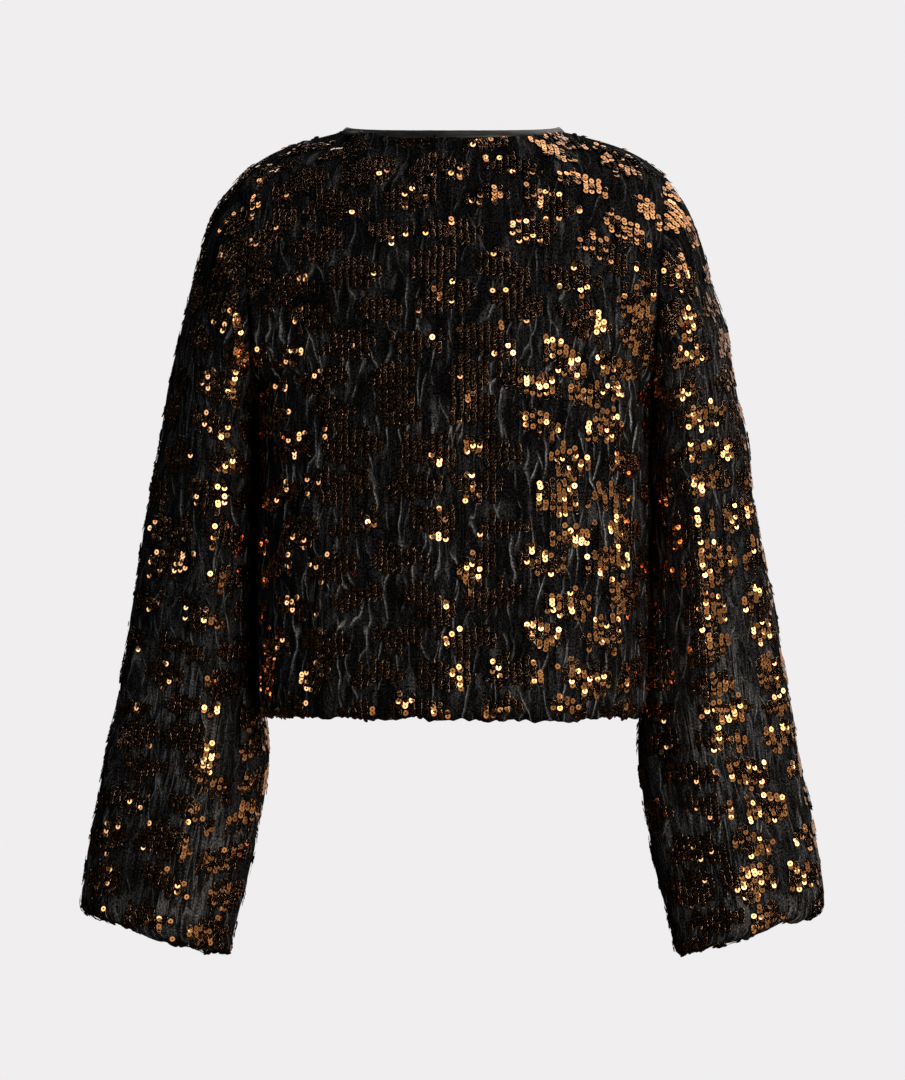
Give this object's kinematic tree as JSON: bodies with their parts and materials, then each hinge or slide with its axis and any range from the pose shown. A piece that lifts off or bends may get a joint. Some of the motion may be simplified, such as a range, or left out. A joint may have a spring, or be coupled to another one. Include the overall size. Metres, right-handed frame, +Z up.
{
  "type": "sequinned bomber jacket",
  "caption": "Short boxy bomber jacket in black velvet with copper sequin clusters, round satin-bound neck, wide long sleeves, gathered hem and cuffs, and a front zip.",
  "frame": {"origin": "midway between the two points where the neckline meets the shoulder seams, where the jacket hangs on the wearer's shoulders", "axes": "+Z up, -Y to the front of the wearer, +X to the wearer's left"},
  "size_m": [0.637, 0.2431, 0.7043],
  "materials": {
    "velvet": "crushed velvet with metallic sequins",
    "satin": "satin",
    "zip_tape": "woven",
    "zip_metal": "dark plated"
  },
  "bodies": {
    "jacket": {"back": "velvet", "front_left": "velvet", "front_right": "velvet", "sleeve_left": "velvet", "sleeve_right": "velvet", "neck_binding": "satin", "zip_tape_left": "zip_tape", "zip_tape_right": "zip_tape", "zip_teeth": "zip_metal", "zip_box": "zip_metal", "zip_stop_left": "zip_metal", "zip_stop_right": "zip_metal", "zip_slider": "zip_metal"},
    "pull_tab": {"zip_pull": "zip_metal"}
  },
  "joints": [
    {"name": "pull_tab_swing", "type": "hinge", "parent": "jacket", "child": "pull_tab", "pos_m": [0, -0.09666, -0.10234], "axis": [-1, 0, 0], "range_deg": [0, 165]}
  ]
}
